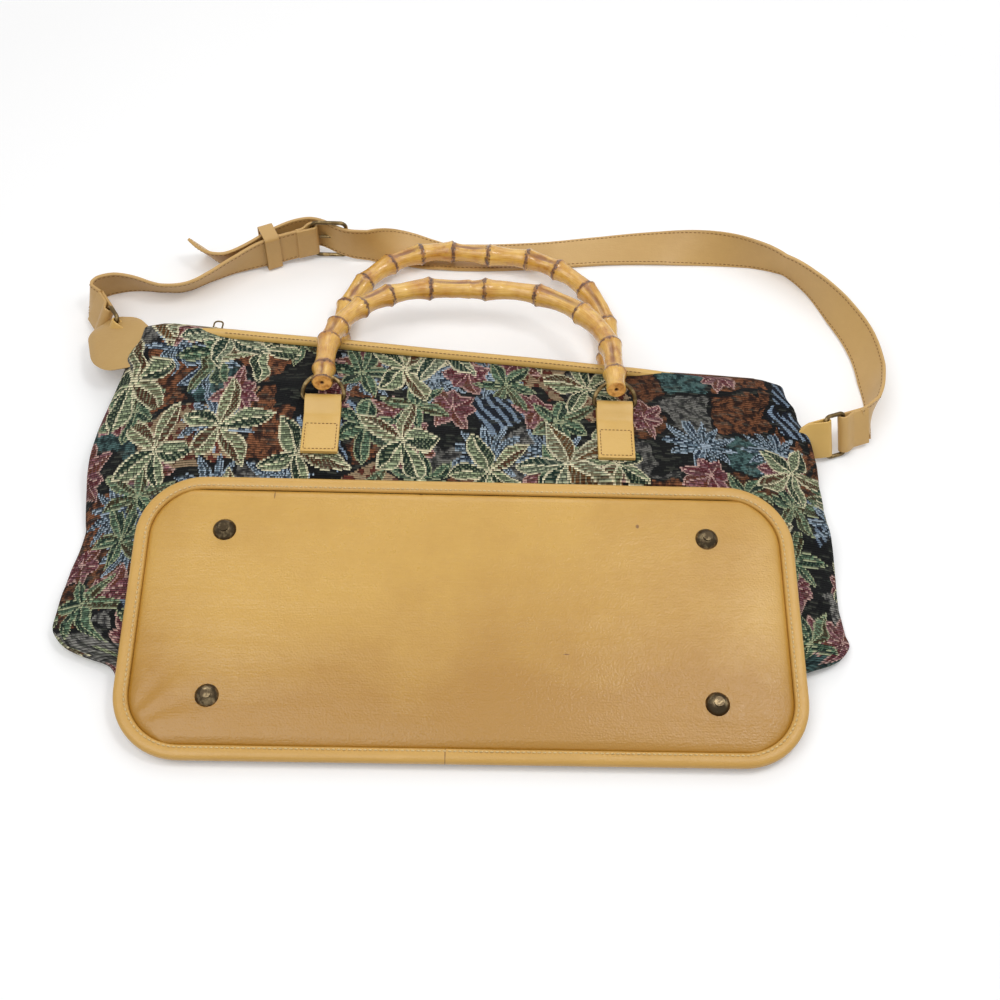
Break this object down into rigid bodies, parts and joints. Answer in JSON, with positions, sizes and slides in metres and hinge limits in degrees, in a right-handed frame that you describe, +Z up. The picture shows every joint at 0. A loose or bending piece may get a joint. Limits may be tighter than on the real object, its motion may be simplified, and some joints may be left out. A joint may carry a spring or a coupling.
{
  "type": "carpet bag",
  "caption": "Soft zipped travel bag of woven tapestry lying on its back, with a leather-look base on domed feet, bent bamboo handles on wire rings and a buckled shoulder strap.",
  "frame": {"origin": "on the flat back that the bag lies on, at the middle of the base's length and midway between the base's near edge and the zip", "axes": "+X along the base to the right as pictured, +Y from the base toward the zip, +Z up"},
  "size_m": [0.6336, 0.4759, 0.0711],
  "materials": {
    "tapestry": "dark woven tapestry with leaves and flowers",
    "base_leather": "honey tan, fine grain, soft sheen",
    "binding_leather": "honey tan welt, stitched",
    "strap_leather": "pale tan, stitched edges",
    "board": "plain stiffener",
    "bamboo": "golden, lacquered, brown knots",
    "dark_metal": "dark antique",
    "zip_cloth": "tan tape"
  },
  "bodies": {
    "bag": {"tapestry_body": "tapestry", "base_panel": "base_leather", "base_board": "board", "base_binding": "binding_leather", "foot_near_left": "dark_metal", "foot_near_right": "dark_metal", "foot_far_left": "dark_metal", "foot_far_right": "dark_metal", "front_left_tab": "strap_leather", "front_right_tab": "strap_leather", "rear_left_tab": "strap_leather", "rear_right_tab": "strap_leather", "left_end_tab": "strap_leather", "right_end_tab": "strap_leather", "left_strap_ring": "dark_metal", "right_strap_ring": "dark_metal", "front_zip_band": "strap_leather", "rear_zip_band": "strap_leather", "front_zip_tape": "zip_cloth", "rear_zip_tape": "zip_cloth", "zip_chain": "dark_metal", "long_strap": "strap_leather", "short_strap": "strap_leather", "strap_buckle": "dark_metal", "buckle_prong": "dark_metal", "strap_keeper": "strap_leather"},
    "front_left_ring": {"front_left_ring": "dark_metal"},
    "front_right_ring": {"front_right_ring": "dark_metal"},
    "front_handle": {"front_handle": "bamboo"},
    "rear_left_ring": {"rear_left_ring": "dark_metal"},
    "rear_right_ring": {"rear_right_ring": "dark_metal"},
    "rear_handle": {"rear_handle": "bamboo"},
    "zip_slider": {"zip_slider": "dark_metal"},
    "zip_pull": {"zip_pull": "dark_metal"}
  },
  "joints": [
    {"name": "front_left_ring_swing", "type": "hinge", "parent": "bag", "child": "front_left_ring", "pos_m": [-0.107, 0.1055, 0.0467], "axis": [1, 0, 0], "range_deg": [0, 80]},
    {"name": "front_right_ring_swing", "type": "hinge", "parent": "bag", "child": "front_right_ring", "pos_m": [0.107, 0.1055, 0.0467], "axis": [1, 0, 0], "range_deg": [0, 80]},
    {"name": "front_handle_swing", "type": "hinge", "parent": "front_left_ring", "child": "front_handle", "pos_m": [0, 0.11561, 0.06114], "axis": [1, 0, 0], "range_deg": [0, 100]},
    {"name": "rear_left_ring_swing", "type": "hinge", "parent": "bag", "child": "rear_left_ring", "pos_m": [-0.10684, 0.1672, 0.0057], "axis": [0.9957, -0.0924, 0], "range_deg": [0, 10]},
    {"name": "rear_right_ring_swing", "type": "hinge", "parent": "bag", "child": "rear_right_ring", "pos_m": [0.10625, 0.14743, 0.0057], "axis": [0.9957, -0.0924, 0], "range_deg": [0, 10]},
    {"name": "rear_handle_swing", "type": "hinge", "parent": "rear_left_ring", "child": "rear_handle", "pos_m": [0.0013, 0.17455, 0.00903], "axis": [0.9957, -0.0924, 0], "range_deg": [0, 30]},
    {"name": "zip_slide", "type": "slide", "parent": "bag", "child": "zip_slider", "axis": [0.9957, -0.0924, 0], "range_m": [0, 0.4]},
    {"name": "zip_pull_swing", "type": "hinge", "parent": "zip_slider", "child": "zip_pull", "pos_m": [-0.19827, 0.18843, 0.024], "axis": [0, 0, 1], "range_deg": [-80, 80]}
  ],
  "couplings": [
    {"joint": "front_right_ring_swing", "follows": "front_left_ring_swing", "ratio": 1},
    {"joint": "rear_right_ring_swing", "follows": "rear_left_ring_swing", "ratio": 1}
  ]
}
